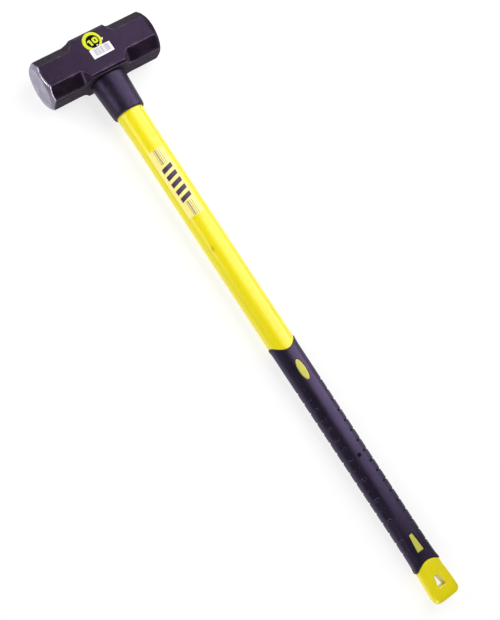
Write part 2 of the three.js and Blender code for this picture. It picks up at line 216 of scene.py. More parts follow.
def slab(low, high):
    """Closed sheet between two grids of points of the same shape."""
    rows, columns = low.shape[:2]
    grid = np.arange(rows * columns).reshape(rows, columns)
    under = grid + rows * columns
    quads = np.stack([grid[:-1, :-1], grid[1:, :-1], grid[1:, 1:], grid[:-1, 1:]], -1).reshape(-1, 4)
    faces = quads.tolist() + (quads + rows * columns)[:, ::-1].tolist()
    rim = np.concatenate([grid[0, :-1], grid[:-1, -1], grid[-1, :0:-1], grid[:0:-1, 0]])
    beneath = np.concatenate([under[0, :-1], under[:-1, -1], under[-1, :0:-1], under[:0:-1, 0]])
    for k in range(len(rim)):
        m = (k + 1) % len(rim)
        faces.append([int(rim[k]), int(rim[m]), int(beneath[m]), int(beneath[k])])
    return np.concatenate([high.reshape(-1, 3), low.reshape(-1, 3)]), faces


def plate(outline, low, high, inner=None):
    """Flat plate with a closed outline, or a flat ring between two outlines."""
    count = len(outline)

    def level(edge, z):
        return np.column_stack([edge, np.full(len(edge), z)])

    i = np.arange(count)
    j = (i + 1) % count
    if inner is None:
        points = np.concatenate([level(outline, low), level(outline, high)])
        faces = [i[::-1].tolist(), (i + count).tolist()]
        faces += np.stack([i, j, j + count, i + count], 1).tolist()
        return points, faces
    rows = [level(outline, low), level(outline, high), level(inner, high), level(inner, low)]
    return tube(rows, loop=True)


def new_piece(name, parts, materials=()):
    """Mesh object in metres from (points, faces, material number) parts given in millimetres."""
    points, faces, marks = [], [], []
    start = 0
    for part_points, part_faces, mark in parts:
        points.append(part_points)
        faces += [[start + k for k in face] for face in part_faces]
        marks += [mark] * len(part_faces)
        start += len(part_points)
    points = (np.concatenate(points) + (0, 0, AXIS_Z)) * MM
    mesh = bpy.data.meshes.new(name)
    mesh.from_pydata(points.tolist(), [], faces)
    for material in materials:
        mesh.materials.append(material)
    mesh.polygons.foreach_set("material_index", marks)
    piece = bpy.data.objects.new(name, mesh)
    bpy.context.scene.collection.objects.link(piece)
    face_outward(piece)
    return piece


def face_outward(piece):
    work = bmesh.new()
    work.from_mesh(piece.data)
    bmesh.ops.recalc_face_normals(work, faces=work.faces)
    work.to_mesh(piece.data)
    work.free()


def carve(piece, tool, how="DIFFERENCE"):
    """Cuts piece with tool, or joins them, and removes tool."""
    modifier = piece.modifiers.new("carve", "BOOLEAN")
    modifier.operation = how
    modifier.object = tool
    modifier.solver = "EXACT"
    graph = bpy.context.evaluated_depsgraph_get()
    carved = bpy.data.meshes.new_from_object(piece.evaluated_get(graph))
    piece.modifiers.clear()
    piece.data = carved
    bpy.data.objects.remove(tool)


def smooth(piece, angle=38, weighted=False):
    piece.data.shade_smooth()
    piece.data.set_sharp_from_angle(angle=math.radians(angle))
    if weighted:
        modifier = piece.modifiers.new("flat_faces_stay_flat", "WEIGHTED_NORMAL")
        modifier.keep_sharp = True


def face_centres(piece):
    """Centre and normal of every face, in millimetres about the handle axis."""
    count = len(piece.data.polygons)
    centres, normals = np.zeros(count * 3), np.zeros(count * 3)
    piece.data.polygons.foreach_get("center", centres)
    piece.data.polygons.foreach_get("normal", normals)
    return centres.reshape(-1, 3) / MM - (0, 0, AXIS_Z), normals.reshape(-1, 3)


def vertex_places(piece):
    places = np.zeros(len(piece.data.vertices) * 3)
    piece.data.vertices.foreach_get("co", places)
    return places.reshape(-1, 3) / MM - (0, 0, AXIS_Z)


def add_value(piece, name, values):
    attribute = piece.data.attributes.new(name, "FLOAT", "POINT")
    attribute.data.foreach_set("value", np.asarray(values, np.float32))


def stand_for(piece, slot, *nodes):
    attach(piece, "root")
    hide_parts(*nodes)


# ------------------------------------------------------------------ node materials
class Look:
    """A procedural material with short calls for the nodes that it uses."""

    def __init__(self, name, **settings):
        self.material = bpy.data.materials.new(name)
        self.material.use_nodes = True
        self.tree = self.material.node_tree
        self.shader = self.tree.nodes["Principled BSDF"]
        for socket, value in settings.items():
            self.shader.inputs[socket.replace("_", " ")].default_value = value
        self.place = self.node("ShaderNodeTexCoord").outputs["Object"]

    def node(self, kind, inputs=(), **settings):
        made = self.tree.nodes.new(kind)
        for key, value in settings.items():
            setattr(made, key, value)
        for key, value in dict(inputs).items():
            if isinstance(value, bpy.types.NodeSocket):
                self.tree.links.new(value, made.inputs[key])
            else:
                made.inputs[key].default_value = value
        return made

    def noise(self, per_metre, detail=3.0, rough=0.55, stretch=(1, 1, 1), shift=(0, 0, 0)):
        """Noise with that many features to the metre, drawn out where stretch is small."""
        inputs = {"Vector": self.place, "Scale": stretch, "Location": shift}
        moved = self.node("ShaderNodeMapping", inputs)
        inputs = {"Vector": moved.outputs[0], "Scale": per_metre, "Detail": detail, "Roughness": rough}
        return self.node("ShaderNodeTexNoise", inputs).outputs["Fac"]

    def cells(self, per_metre, feature="F1", stretch=(1, 1, 1)):
        moved = self.node("ShaderNodeMapping", {"Vector": self.place, "Scale": stretch})
        inputs = {"Vector": moved.outputs[0], "Scale": per_metre}
        return self.node("ShaderNodeTexVoronoi", inputs, feature=feature).outputs["Distance"]

    def span(self, value, low, high, to_low=0.0, to_high=1.0):
        inputs = {"Value": value, "From Min": low, "From Max": high, "To Min": to_low, "To Max": to_high}
        return self.node("ShaderNodeMapRange", inputs).outputs[0]

    def distance(self, point):
        made = self.node("ShaderNodeVectorMath", {0: self.place, 1: point}, operation="DISTANCE")
        return made.outputs["Value"]

    def maths(self, how, a, b=0.0):
        made = self.node("ShaderNodeMath", operation=how)
        for socket, value in zip(made.inputs, (a, b)):
            if isinstance(value, bpy.types.NodeSocket):
                self.tree.links.new(value, socket)
            else:
                socket.default_value = value
        return made.outputs[0]

    def mix(self, share, a, b):
        made = self.node("ShaderNodeMix", data_type="RGBA")
        for socket, value in zip((made.inputs[0], made.inputs[6], made.inputs[7]), (share, a, b)):
            if isinstance(value, bpy.types.NodeSocket):
                self.tree.links.new(value, socket)
            else:
                socket.default_value = value if isinstance(value, float) else (*value, 1.0)
        return made.outputs[2]

    def value(self, name):
        return self.node("ShaderNodeAttribute", attribute_name=name).outputs["Fac"]

    def set(self, socket, value):
        self.tree.links.new(value, self.shader.inputs[socket])

    def bumps(self, *layers):
        """Each layer is (height, strength, depth in millimetres)."""
        under = None
        for level, strength, depth in layers:
            inputs = {"Height": level, "Strength": strength, "Distance": depth * MM}
            if under is not None:
                inputs["Normal"] = under
            under = self.node("ShaderNodeBump", inputs).outputs[0]
        self.set("Normal", under)


def lacquer():
    look = Look("dark_lacquer_on_forged_steel", Specular_IOR_Level=0.6, Specular_Tint=(0.8, 0.56, 1.0, 1))
    patch = look.noise(28, detail=4)
    scale = look.noise(420, detail=5, rough=0.65)
    fine = look.noise(1700, detail=3)
    raw = look.value("raw")
    colour = look.mix(look.span(patch, 0.35, 0.7), (0.0062, 0.0036, 0.0066), (0.013, 0.0085, 0.0155))
    mottle = look.span(look.noise(260, detail=5, rough=0.7, shift=(0.4, 0.2, 0.9)), 0.42, 0.66)
    colour = look.mix(look.maths("MULTIPLY", mottle, raw), colour, (0.024, 0.016, 0.0165))
    dust = look.span(scale, 0.62, 0.8)
    colour = look.mix(look.maths("MULTIPLY", dust, 0.3), colour, (0.06, 0.046, 0.066))
    scratch = look.span(look.noise(90, detail=2, stretch=(1.5, 22, 22), shift=(0.3, 0.1, 0.7)), 0.735, 0.76)
    colour = look.mix(look.maths("MULTIPLY", scratch, 0.5), colour, (0.24, 0.2, 0.3))
    chips = look.span(look.noise(330, detail=4, rough=0.7), 0.4, 0.62)
    worn = look.maths("MULTIPLY", look.value("edge"), look.span(chips, 0.0, 1.0, 0.35, 1.0))
    colour = look.mix(worn, colour, (0.2, 0.17, 0.235))
    look.set("Base Color", colour)
    rough = look.span(scale, 0.3, 0.75, 0.25, 0.38)
    rough = look.maths("ADD", rough, look.maths("MULTIPLY", raw, 0.3))
    rough = look.maths("ADD", rough, look.span(patch, 0.35, 0.65, 0.0, 0.1))
    look.set("Roughness", rough)
    pits = look.maths("MULTIPLY", mottle, raw)
    look.bumps((patch, 0.3, 3.2), (scale, 0.24, 0.4), (pits, 0.9, 0.7), (fine, 0.12, 0.12))
    return look.material


def ground_steel():
    look = Look("ground_striking_face", Metallic=1.0)
    streak = look.noise(150, detail=4, rough=0.6, stretch=(1, 0.7, 9))
    cloud = look.noise(45, detail=3)
    fine = look.noise(2400, detail=2)
    colour = look.mix(look.span(cloud, 0.3, 0.7), (0.36, 0.33, 0.42), (0.52, 0.49, 0.6))
    colour = look.mix(look.span(streak, 0.47, 0.7, 0.0, 0.85), colour, (0.23, 0.2, 0.27))
    colour = look.mix(look.value("bevel"), colour, (0.15, 0.13, 0.175))
    # Painted glint, partly real polish: along the used face's rim the steel is brighter and smoother.
    polish_glint = look.value("polish_glint")
    look.set("Base Color", look.mix(polish_glint, colour, (0.8, 0.77, 0.86)))
    rough = look.span(streak, 0.3, 0.7, 0.3, 0.46)
    look.set("Roughness", look.maths("MULTIPLY", rough, look.span(polish_glint, 0, 1, 1.0, 0.8)))
    look.bumps((streak, look.span(polish_glint, 0, 1, 0.28, 0.04), 0.3), (fine, 0.12, 0.08))
    return look.material


def resin():
    look = Look("eye_resin", Roughness=0.22, Coat_Weight=0.4, Coat_Roughness=0.12)
    cloud = look.noise(160, detail=4)
    bubble = look.span(look.cells(900), 0.0, 0.28)
    colour = look.mix(look.span(cloud, 0.3, 0.7), (0.035, 0.022, 0.012), (0.11, 0.07, 0.035))
    look.set("Base Color", colour)
    look.bumps((cloud, 0.4, 0.6), (bubble, 0.25, 0.2))
    return look.material


def yellow(name, light, deep, rough_low, rough_high):
    look = Look(
        name, Specular_IOR_Level=0.7, Specular_Tint=(1.0, 1.0, 0.95, 1), Coat_Weight=0.6, Coat_Roughness=0.3)
    cloud = look.noise(16, detail=3, stretch=(1, 0.35, 1))
    flow = look.noise(130, detail=4, stretch=(1, 0.12, 1))
    fine = look.noise(1500, detail=3)
    speck = look.span(look.noise(620, detail=2, shift=(0.2, 0.5, 0.1)), 0.74, 0.79)
    colour = look.mix(look.span(cloud, 0.3, 0.7), light, deep)
    colour = look.mix(look.maths("MULTIPLY", speck, 0.3), colour, (0.3, 0.26, 0.02))
    mark = look.value("mark")
    colour = look.mix(look.maths("MULTIPLY", mark, 0.75), colour, (0.16, 0.14, 0.02))
    look.set("Base Color", colour)
    look.set("Roughness", look.span(flow, 0.3, 0.7, rough_low, rough_high))
    look.bumps((cloud, 0.2, 1.6), (flow, 0.16, 0.4), (fine, 0.08, 0.06))
    return look.material


def black_plastic():
    look = Look("collar_black_plastic", IOR=1.58, Specular_IOR_Level=0.8, Specular_Tint=(0.72, 0.56, 1.0, 1))
    cloud = look.noise(60, detail=4)
    fine = look.noise(1900, detail=4, rough=0.6)
    scuff = look.span(look.noise(240, detail=5, rough=0.7, stretch=(1, 0.5, 1)), 0.6, 0.74)
    colour = look.mix(look.span(cloud, 0.3, 0.7), (0.003, 0.0019, 0.0031), (0.0065, 0.0048, 0.007))
    colour = look.mix(look.maths("MULTIPLY", scuff, 0.4), colour, (0.07, 0.058, 0.08))
    look.set("Base Color", colour)
    look.set("Roughness", look.span(cloud, 0.3, 0.7, 0.4, 0.5))
    ripple = look.noise(120, detail=3, shift=(0.6, 0.1, 0.3))
    look.bumps((cloud, 0.42, 1.4), (ripple, 0.5, 0.6), (scuff, 0.2, 0.15), (fine, 0.3, 0.12))
    return look.material


def rubber():
    look = Look("grip_rubber", IOR=1.6, Specular_IOR_Level=0.95, Specular_Tint=(0.7, 0.55, 1.0, 1))
    cloud = look.noise(34, detail=4)
    fine = look.noise(2600, detail=3, rough=0.6)
    wear = look.span(look.noise(300, detail=4, rough=0.65, stretch=(1, 0.4, 1)), 0.6, 0.75)
    colour = look.mix(look.span(cloud, 0.3, 0.7), (0.0024, 0.0015, 0.0022), (0.0055, 0.0037, 0.0055))
    colour = look.mix(look.maths("MULTIPLY", wear, 0.18), colour, (0.05, 0.041, 0.058))
    # Painted shade: the grooves and the dimple get a darker base colour, and more roughness, where their
    # walls shade them.
    groove_shade = look.value("groove_shade")
    colour = look.mix(look.maths("MULTIPLY", groove_shade, 0.8), colour, (0.002, 0.0015, 0.002))
    look.set("Base Color", colour)
    rough = look.span(cloud, 0.3, 0.7, 0.37, 0.47)
    look.set("Roughness", look.maths("ADD", rough, look.maths("MULTIPLY", groove_shade, 0.5)))
    ripple = look.noise(110, detail=3, stretch=(1, 0.6, 1), shift=(0.2, 0.7, 0.4))
    look.bumps((cloud, 0.24, 0.9), (ripple, 0.4, 0.5), (fine, 0.35, 0.12))
    return look.material


def fibreglass():
    look = Look("fibreglass_rod", Roughness=0.5)
    fibre = look.noise(900, detail=3, stretch=(1, 0.02, 1))
    bundle = look.span(look.cells(700, stretch=(1, 0.02, 1)), 0.0, 0.6)
    colour = look.mix(bundle, (0.62, 0.56, 0.3), (0.42, 0.36, 0.17))
    colour = look.mix(look.span(fibre, 0.45, 0.7), colour, (0.75, 0.72, 0.5))
    look.set("Base Color", colour)
    look.bumps((fibre, 0.4, 0.2), (bundle, 0.3, 0.2))
    return look.material


def printed(name, colour, second, rough, grain=900, per=0.1, shine=0.35):
    """Ink, film or paper: one colour with faint mottling and tooth."""
    look = Look(name, Roughness=rough, Specular_IOR_Level=shine)
    mottle = look.noise(grain, detail=4)
    look.set("Base Color", look.mix(look.span(mottle, 0.35, 0.75), colour, second))
    look.bumps((mottle, per, 0.1))
    return look.material


# ------------------------------------------------------------------ head
BLOCK_D = (2 * HALF - BLOCK_CUT) / math.sqrt(2)  # distance of the eye block's corner cuts from the axis
BAR_D = (HALF + FLAT) / math.sqrt(2)  # the same for the octagon


def corner_profile():
    """How far out the corner cuts lie, from the middle of the head to near a face: (x, distance)."""
    def sweep(rise):
        return BLOCK_X + (FLARE_X - BLOCK_X) * (1 - rise / FLARE_DEPTH) ** 2

    top = BLOCK_D - BAR_D
    below = top - SHOULDER_DROP
    shoulder = bend((BLOCK_X - 1.0, top), (sweep(top), top), (sweep(below), below), 5)
    depths = np.linspace(below, FOOT_RISE, 12)[1:-1]
    hollow = np.column_stack([sweep(depths), depths])
    foot = bend((sweep(FOOT_RISE), FOOT_RISE), (FLARE_X, 0), (FLARE_X + FOOT_LENGTH, 0), 5)
    middle = [(x, top) for x in np.linspace(0, BLOCK_X - 1.0, 9)[:-1]]
    bar = [(x, 0) for x in np.linspace(FLARE_X + FOOT_LENGTH, BAR_END, 12)[1:]]
    profile = np.concatenate([middle, shoulder, hollow, foot, bar])
    profile[:, 1] += BAR_D
    return profile


def octagon(distance):
    """Points (y, z) of one section of the head, with its corners rounded."""
    corner = math.sqrt(2) * distance - HALF
    soft = EDGE_SOFT
    flat = [(HALF, v) for v in np.linspace(0, corner - soft, 8)[:-1]]
    slope = soft / math.sqrt(2)
    first = bend((HALF, corner - soft), (HALF, corner), (HALF - slope, corner + slope), 5)
    half_cut = np.array([(HALF - slope, corner + slope), ((HALF + corner) / 2, (HALF + corner) / 2)])
    cut = half_cut[0] + (half_cut[1] - half_cut[0]) * np.linspace(0, 1, 4)[1:, None]
    eighth = np.concatenate([flat, first, cut])
    mirrored = eighth[-2:0:-1, ::-1]
    quarter = np.concatenate([eighth, mirrored, [(0, HALF)]])[:-1]
    turns = [quarter @ np.array([(c, s), (-s, c)]) for c, s in ((1, 0), (0, 1), (-1, 0), (0, -1))]
    return np.concatenate(turns)


def forged(x, yz):
    """Small waves of a forged surface, always inward."""
    r = np.hypot(*yz.T)
    a = np.arctan2(yz[:, 1], yz[:, 0])
    wave = np.sin(0.13 * x + 2.1 * np.sin(a * 2)) * np.cos(a * 5 + 0.05 * x) + 0.6 * np.sin(0.31 * x + a * 7)
    return yz * (1 - (0.09 + 0.045 * wave) / r)[:, None]


def level_row(x, yz):
    return np.column_stack([np.full(len(yz), x), yz])


def head_end():
    """Rows from the last plain section to the middle of a striking face, as (x, y, z) rings."""
    yz = forged(BAR_END, octagon(BAR_D))
    r = np.hypot(*yz.T)
    edge = CORNER_X + (RIM_X - CORNER_X) / (CORNER_R - RIM_R) * (CORNER_R - r)
    along = np.stack([RIM_X - edge, RIM_R - r], 1)
    along /= np.linalg.norm(along, axis=1)[:, None]

    def crown(radius):
        return FACE_X - (FACE_X - RIM_X) * (radius / RIM_R) ** 2.9

    stops = [(BAR_END + (edge - FACE_EDGE_SOFT - BAR_END) * t, r) for t in (0.4, 0.75, 0.93)]
    for t in np.linspace(0, 1, 6):
        x = edge - FACE_EDGE_SOFT * (1 - t) ** 2 + FACE_EDGE_SOFT * along[:, 0] * t * t
        stops.append((x, r + FACE_EDGE_SOFT * along[:, 1] * t * t))
    start_x, start_r = stops[-1]
    for t in (0.3, 0.6, 0.9):
        stops.append((start_x + (RIM_X - start_x) * t, start_r + (RIM_R - start_r) * t))
    for radius in (RIM_R - 0.1, RIM_R - 0.6, 27.5, 25, 22, 19, 16, 12, 8, 4, 1):
        stops.append((np.full(len(r), crown(radius)), np.full(len(r), radius)))
    return [np.column_stack([x, yz * (radius / r)[:, None]]) for x, radius in stops]


def eye_wall(y):
    """Half width and half thickness of the eye at y, with its rounded mouths."""
    reach = HALF - EYE_MOUTH
    t = np.clip((y + reach) / (2 * reach), 0, 1)
    grow = EYE_MOUTH * (1 - math.sqrt(max(0.0, 1 - (max(0.0, abs(y) - reach) / EYE_MOUTH) ** 2)))
    return [a + (b - a) * t + grow for a, b in zip(EYE_BOTTOM, EYE_TOP)]


def eye_cutter():
    levels = HALF - EYE_MOUTH + EYE_MOUTH * np.sin(np.radians([0, 18, 36, 52, 66, 78]))
    mouth = [ring(y, *eye_wall(y), 2.1) for y in levels]
    far = ring(HALF + 1.5, *[v + 0.3 for v in eye_wall(HALF - 0.02)], 2.1)
    low_mouth = [ring(y, *eye_wall(y), 2.1) for y in -levels]
    low_far = ring(-HALF - 1.5, *[v + 0.3 for v in eye_wall(-HALF + 0.02)], 2.1)
    straight = [ring(y, *eye_wall(y), 2.1) for y in (20, 0, -20)]
    return new_piece("eye_cutter", [(*tube([far, *mouth[::-1], *straight, *low_mouth, low_far]), 0)])


def bare_faces(piece):
    """Leaves both striking faces bare: the used one with its bevel, the other one inside its painted rim."""
    centres, normals = face_centres(piece)
    bare = (np.abs(centres[:, 0]) > CORNER_X - 2.0) & (np.abs(normals[:, 0]) > 0.05)
    bare &= (centres[:, 0] < 0) | (np.hypot(*centres[:, 1:].T) < RIM_R)
    piece.data.polygons.foreach_set("material_index", bare.astype(np.int32))


def mark_wear(piece, profile):
    """Stores where edges are worn, where the forging is rough, where the bevels are darker, and the used
    face's polished rim, which is also a painted glint.
    """
    places = vertex_places(piece)
    x, y, z = np.abs(places).T
    flat_depth = HALF - np.maximum(y, z)
    cut_depth = np.interp(x, profile[:, 0], profile[:, 1]) - (y + z) / math.sqrt(2)
    painted = x < CORNER_X - 1
    add_value(piece, "edge", np.clip((0.8 - flat_depth - cut_depth) / 0.45, 0, 1) * painted)

    ends = np.clip((0.9 - (HALF - y)) / 0.5, 0, 1)
    upper_cuts = 0.6 * np.clip((0.9 - cut_depth) / 0.5, 0, 1) * (places[:, 1] > 0)
    far_rim = (x > CORNER_X - 1) & (places[:, 0] > 0)
    add_value(piece, "raw", np.maximum(np.maximum(ends, upper_cuts) * painted, far_rim))

    add_value(piece, "bevel", (np.hypot(y, z) > RIM_R - 0.2) * 0.42)
    # Polished rim on the side flats of the used end, strongest toward the handle: real polish shaped as a
    # painted glint.
    side_depth = np.clip((1.6 - (HALF - z)) / 0.8, 0, 1)
    near_cut = 0.12 * np.clip((1.5 - (BAR_D - (y + z) / math.sqrt(2))) / 0.8, 0, 1)
    glint_toward_handle = np.clip((6 - places[:, 1]) / 10, 0.12, 1)
    polish_glint_mask = np.maximum(side_depth * glint_toward_handle, near_cut)
    add_value(piece, "polish_glint", polish_glint_mask * (x > CORNER_X - 3) * (places[:, 0] < 0))


def make_head(paint, steel):
    profile = corner_profile()
    side = [level_row(x, forged(x, octagon(d))) for x, d in profile] + head_end()
    mirror = np.array([-1, 1, 1])
    rows = [row * mirror for row in side[:0:-1]] + side
    piece = new_piece("head_forging", [(*tube(rows), 0)], [paint, steel])
    carve(piece, eye_cutter())
    bare_faces(piece)
    mark_wear(piece, profile)
    smooth(piece, weighted=True)
    stand_for(piece, "forged_steel", "head")


def make_resin(material):
    inner = [v + 0.06 for v in JACKET[0, 1:3]]
    outer = [v - RESIN_GAP for v in eye_wall(RESIN_TOP)]
    top = []
    for share in np.linspace(0, 1, 9):
        y = RESIN_TOP - RESIN_DIP * math.sin(math.pi * share) ** 0.7
        top.append(ring(y, *[o + (i - o) * share for o, i in zip(outer, inner)]))
    wall = [ring(y, *(v - RESIN_GAP for v in eye_wall(y))) for y in (RESIN_BOTTOM, 0, 29.5, 30.4)]
    foot = ring(RESIN_BOTTOM, *inner)
    piece = new_piece("eye_resin", [(*tube([*wall, *top, foot], loop=True), 0)], [material])
    smooth(piece, 50)
    stand_for(piece, "epoxy", "eye_epoxy")


# ------------------------------------------------------------------ handle
def plug(outline, top, soft, bottom):
    """Cutter or pad with an outline in X and Y whose edge flares or rounds where it meets a surface.

    outline(extra) gives the points, top(x, y) the height of the surface, and soft is the radius of the
    flare (positive) for a cutter or of the rounding (negative) for a pad.
    """
    def level(extra, drop):
        edge = outline(extra)
        return np.column_stack([edge, top(*edge.T) - drop])

    start = outline(0.0)
    depths = np.full(len(start), bottom) if np.isscalar(bottom) else bottom(*start.T)
    rows = [np.column_stack([start, depths])]
    radius = abs(soft)
    if soft > 0:
        for a in np.radians([0, 20, 40, 60, 76]):
            rows.append(level(radius * (1 - math.cos(a)), radius * (1 - math.sin(a))))
        rows.append(level(radius * 1.6, -2.0))
    else:
        for a in np.radians([0, 22, 45, 68, 90]):
            rows.append(level(-radius * (1 - math.cos(a)), radius * (1 - math.sin(a))))
        centre = start.mean(0)
        for share in (0.8, 0.55, 0.3, 0.1):
            edge = centre + (outline(-radius) - centre) * share
            rows.append(np.column_stack([edge, top(*edge.T)]))
    return tube(rows)


def flipped(shape):
    points, faces = shape
    return points * (1, 1, -1), faces


def oval(extra):
    a = 2 * np.pi * np.arange(64) / 64
    return np.column_stack([(OVAL_WIDTH + extra) * np.cos(a), OVAL_Y + (OVAL_LENGTH + extra) * np.sin(a)])


def rounded(corners, radius, steps=5):
    """Polygon with round corners, for corners given in order round it."""
    corners = np.array(corners, float)
    made = []
    for k, corner in enumerate(corners):
        before, after = corners[k - 1] - corner, corners[(k + 1) % len(corners)] - corner
        before, after = before / np.linalg.norm(before), after / np.linalg.norm(after)
        made.append(bend(corner + before * radius, corner, corner + after * radius, steps))
    return np.concatenate(made)


def wedge(extra, radius=1.1):
    a, b = WEDGE_HALF0 + extra, WEDGE_HALF1 + extra
    y0, y1 = WEDGE_Y0 + extra, WEDGE_Y1 - extra
    return rounded([(-b, y1), (b, y1), (a, y0), (-a, y0)], radius)


def keystone(extra, radius=0.9):
    a, b = HOLE_HALF0 + extra, HOLE_HALF1 + extra
    y0, y1 = HOLE_Y0 + extra, HOLE_Y1 - extra
    return rounded([(-b, y1), (b, y1), (a, y0), (-a, y0)], radius)


def edge_rows(table, y, sign, soft, wall):
    """Rounded rim of a surface that ends at y, seen from the end wall; sign is the way out of the piece."""
    rows = [skin(table, y, wall)] if wall else []
    for across, along in rounding():
        rows.append(skin(table, y - sign * soft * along, soft * across))
    return rows


def jacket_rows():
    start = scoop(GRIP_START, -START_SCOOP, GRIP) + SKIN_GAP
    end = scoop(GRIP_END, END_SCOOP, GRIP) - SKIN_GAP
    bore = [ring(y, CORE_P + 0.08, CORE_Q + 0.08) for y in (CORE_END - 0.3, -400, 0, TENON_TOP)]
    top = [skin(JACKET, TENON_TOP - 0.6 * along, 0.6 * across) for across, along in rounding()]
    shaft = [skin(JACKET, y) for y in [20, 0, -20, -28, -31, -34, -37, *np.arange(-45, SHAFT_END - 1, -6)]]
    toward = [skin(JACKET, SHAFT_END + (start + 0.9 - SHAFT_END) * t) for t in (0.3, 0.6, 0.85)]
    lip = edge_rows(JACKET, start, -1, 0.7, 0)[::-1]
    under = GRIP_WALL + 0.1
    floor = [skin(GRIP, start + (end - start) * t, under) for t in np.linspace(0, 1, 40)]
    rise = edge_rows(JACKET, end, 1, 0.6, 0)
    last = end - 0.6
    butt = [skin(JACKET, last + (BUTT_START - last) * t) for t in (0.3, 0.65, 1)]
    end_y, end_p, end_q, end_n = JACKET[-1]
    sides = np.arange(BUTT_START - 1, BUTT_ROUND, -1.0)
    butt += [skin(JACKET, y) for y in [*sides, *np.arange(BUTT_ROUND, end_y + 0.1, -0.5), end_y]]
    cap = [ring(end_y, end_p * s, end_q * s, end_n) for s in (0.9, 0.6, 0.25)]
    return [*bore, *top, *shaft, *toward, *lip, *floor, *rise, *butt, *cap]


def make_jacket(material, pad_material):
    piece = new_piece("yellow_handle", [(*tube(jacket_rows()), 0)], [material, pad_material])

    def pad_top(x, y):
        return grip_top(x, y) - PAD_DROP

    def pad_foot(x, y):
        return grip_top(x, y) - GRIP_WALL - 1.4

    for outline in (oval, wedge):
        pad = plug(lambda extra: outline(extra - PAD_GAP), pad_top, -PAD_SOFT, pad_foot)
        for side in (pad, flipped(pad)):
            carve(piece, new_piece("pad", [(*side, 0)]), "UNION")
    hole = plug(lambda extra: keystone(extra + SKIN_GAP), jacket_top, HOLE_SOFT, -0.5)
    for side in (hole, flipped(hole)):
        carve(piece, new_piece("hole", [(*side, 0)]))
    x, y, z = face_centres(piece)[0].T
    in_windows = (y < GRIP_START - START_SCOOP) & (y > GRIP_END + END_SCOOP)
    raised = np.abs(z) > grip_top(x, y) - GRIP_WALL + 0.3
    piece.data.polygons.foreach_set("material_index", (in_windows & raised).astype(np.int32))
    x, y, z = vertex_places(piece).T
    mark_x, mark_y, half_width, half_length = MARK
    speck = np.exp(-(((x - mark_x) / half_width) ** 2 + ((y - mark_y) / half_length) ** 2)) * (z > 0)
    add_value(piece, "mark", speck)
    smooth(piece)
    stand_for(piece, "yellow_plastic", "handle_jacket")


def groove_share(x, y):
    """How deep the grip's cross grooves are at a point, from 0 to 1."""
    nearest = np.clip(np.round((GROOVE_FIRST - y) / GROOVE_PITCH), 0, GROOVE_COUNT - 1)
    offset = np.abs(GROOVE_FIRST - nearest * GROOVE_PITCH - y) / (GROOVE_WIDTH / 2)
    middle = (GROOVE_COUNT - 1) / 2
    inner = GROOVE_INNER + GROOVE_SPREAD * (np.abs(nearest - middle) / middle) ** 2
    t = np.clip((np.abs(x) - inner) / GROOVE_FADE, 0, 1)
    side = np.clip((np.abs(x) - 14.5) / 4, 0, 1)
    pocket = np.clip(1 - np.abs(np.abs(x) - inner - GROOVE_FADE) / 2.2, 0, 1)
    return np.clip(1.25 * (1 - offset**2), 0, 1) * t * t * (3 - 2 * t) * (1 - 0.2 * side + 0.5 * pocket)


def grip_rows():
    start = scoop(GRIP_START, -START_SCOOP, GRIP) - SKIN_GAP
    end = scoop(GRIP_END, END_SCOOP, GRIP) + SKIN_GAP
    soft = 0.7
    first, last = start - soft, end + soft
    head_rows = edge_rows(GRIP, start, 1, soft, GRIP_WALL)
    toward = [skin(GRIP, first + (PLAIN_FROM - first) * t) for t in np.linspace(0.1, 1, 9)]
    middle = [skin(GRIP, y) for y in np.arange(PLAIN_FROM - 1, GROOVED_FROM, -1.5)]
    grooved = [skin(GRIP, y) for y in np.arange(GROOVED_FROM, GROOVED_TO, -0.6)]
    away = [skin(GRIP, GROOVED_TO + (last - GROOVED_TO) * t) for t in np.linspace(0, 0.95, 12)]
    butt_rows = edge_rows(GRIP, end, -1, soft, GRIP_WALL)[::-1]
    outer = []
    for row in [*middle, *grooved]:
        x, y, z = row.T
        keep = 1 - GROOVE_DEPTH * groove_share(x, y) / np.hypot(x, z)
        outer.append(np.column_stack([x * keep, y, z * keep]))
    inner = [skin(GRIP, end + (start - end) * t, GRIP_WALL) for t in np.linspace(0, 1, 14)[1:-1]]
    return [*head_rows, *toward, *outer, *away, *butt_rows, *inner]


def make_grip(material):
    piece = new_piece("rubber_grip", [(*tube(grip_rows(), loop=True), 0)], [material])
    for outline in (oval, wedge):
        window = plug(outline, grip_top, WINDOW_SOFT, WINDOW_FLOOR)
        for side in (window, flipped(window)):
            carve(piece, new_piece("window", [(*side, 0)]))
    x, y, radius, rise = DIMPLE
    centre = np.array([x, y, float(grip_top(x, y)) + rise])
    levels = np.linspace(0.06, np.pi - 0.06, 14)
    circle = np.column_stack([np.cos(TURNS[::4]), np.sin(TURNS[::4])]) * radius
    bowl = []
    for a in levels:
        drop = np.full(len(circle), -radius * np.cos(a))
        bowl.append(centre + np.column_stack([circle * np.sin(a), drop]))
    carve(piece, new_piece("bowl", [(*tube(bowl), 0)]))
    x, y, z = vertex_places(piece).T
    # Painted shade in the grooves and the dimple, made fainter towards the sides of the grip.
    dimple_shade = (np.hypot(x - DIMPLE[0], y - DIMPLE[1]) < 0.9 * DIMPLE[2]) & (z > 0)
    groove_shade_fade = 1 - 0.75 * np.clip((np.abs(x) - 12) / 4, 0, 1)
    add_value(piece, "groove_shade", np.maximum(groove_share(x, y) * groove_shade_fade, dimple_shade))
    smooth(piece, 42)
    stand_for(piece, "grip_rubber", "grip")


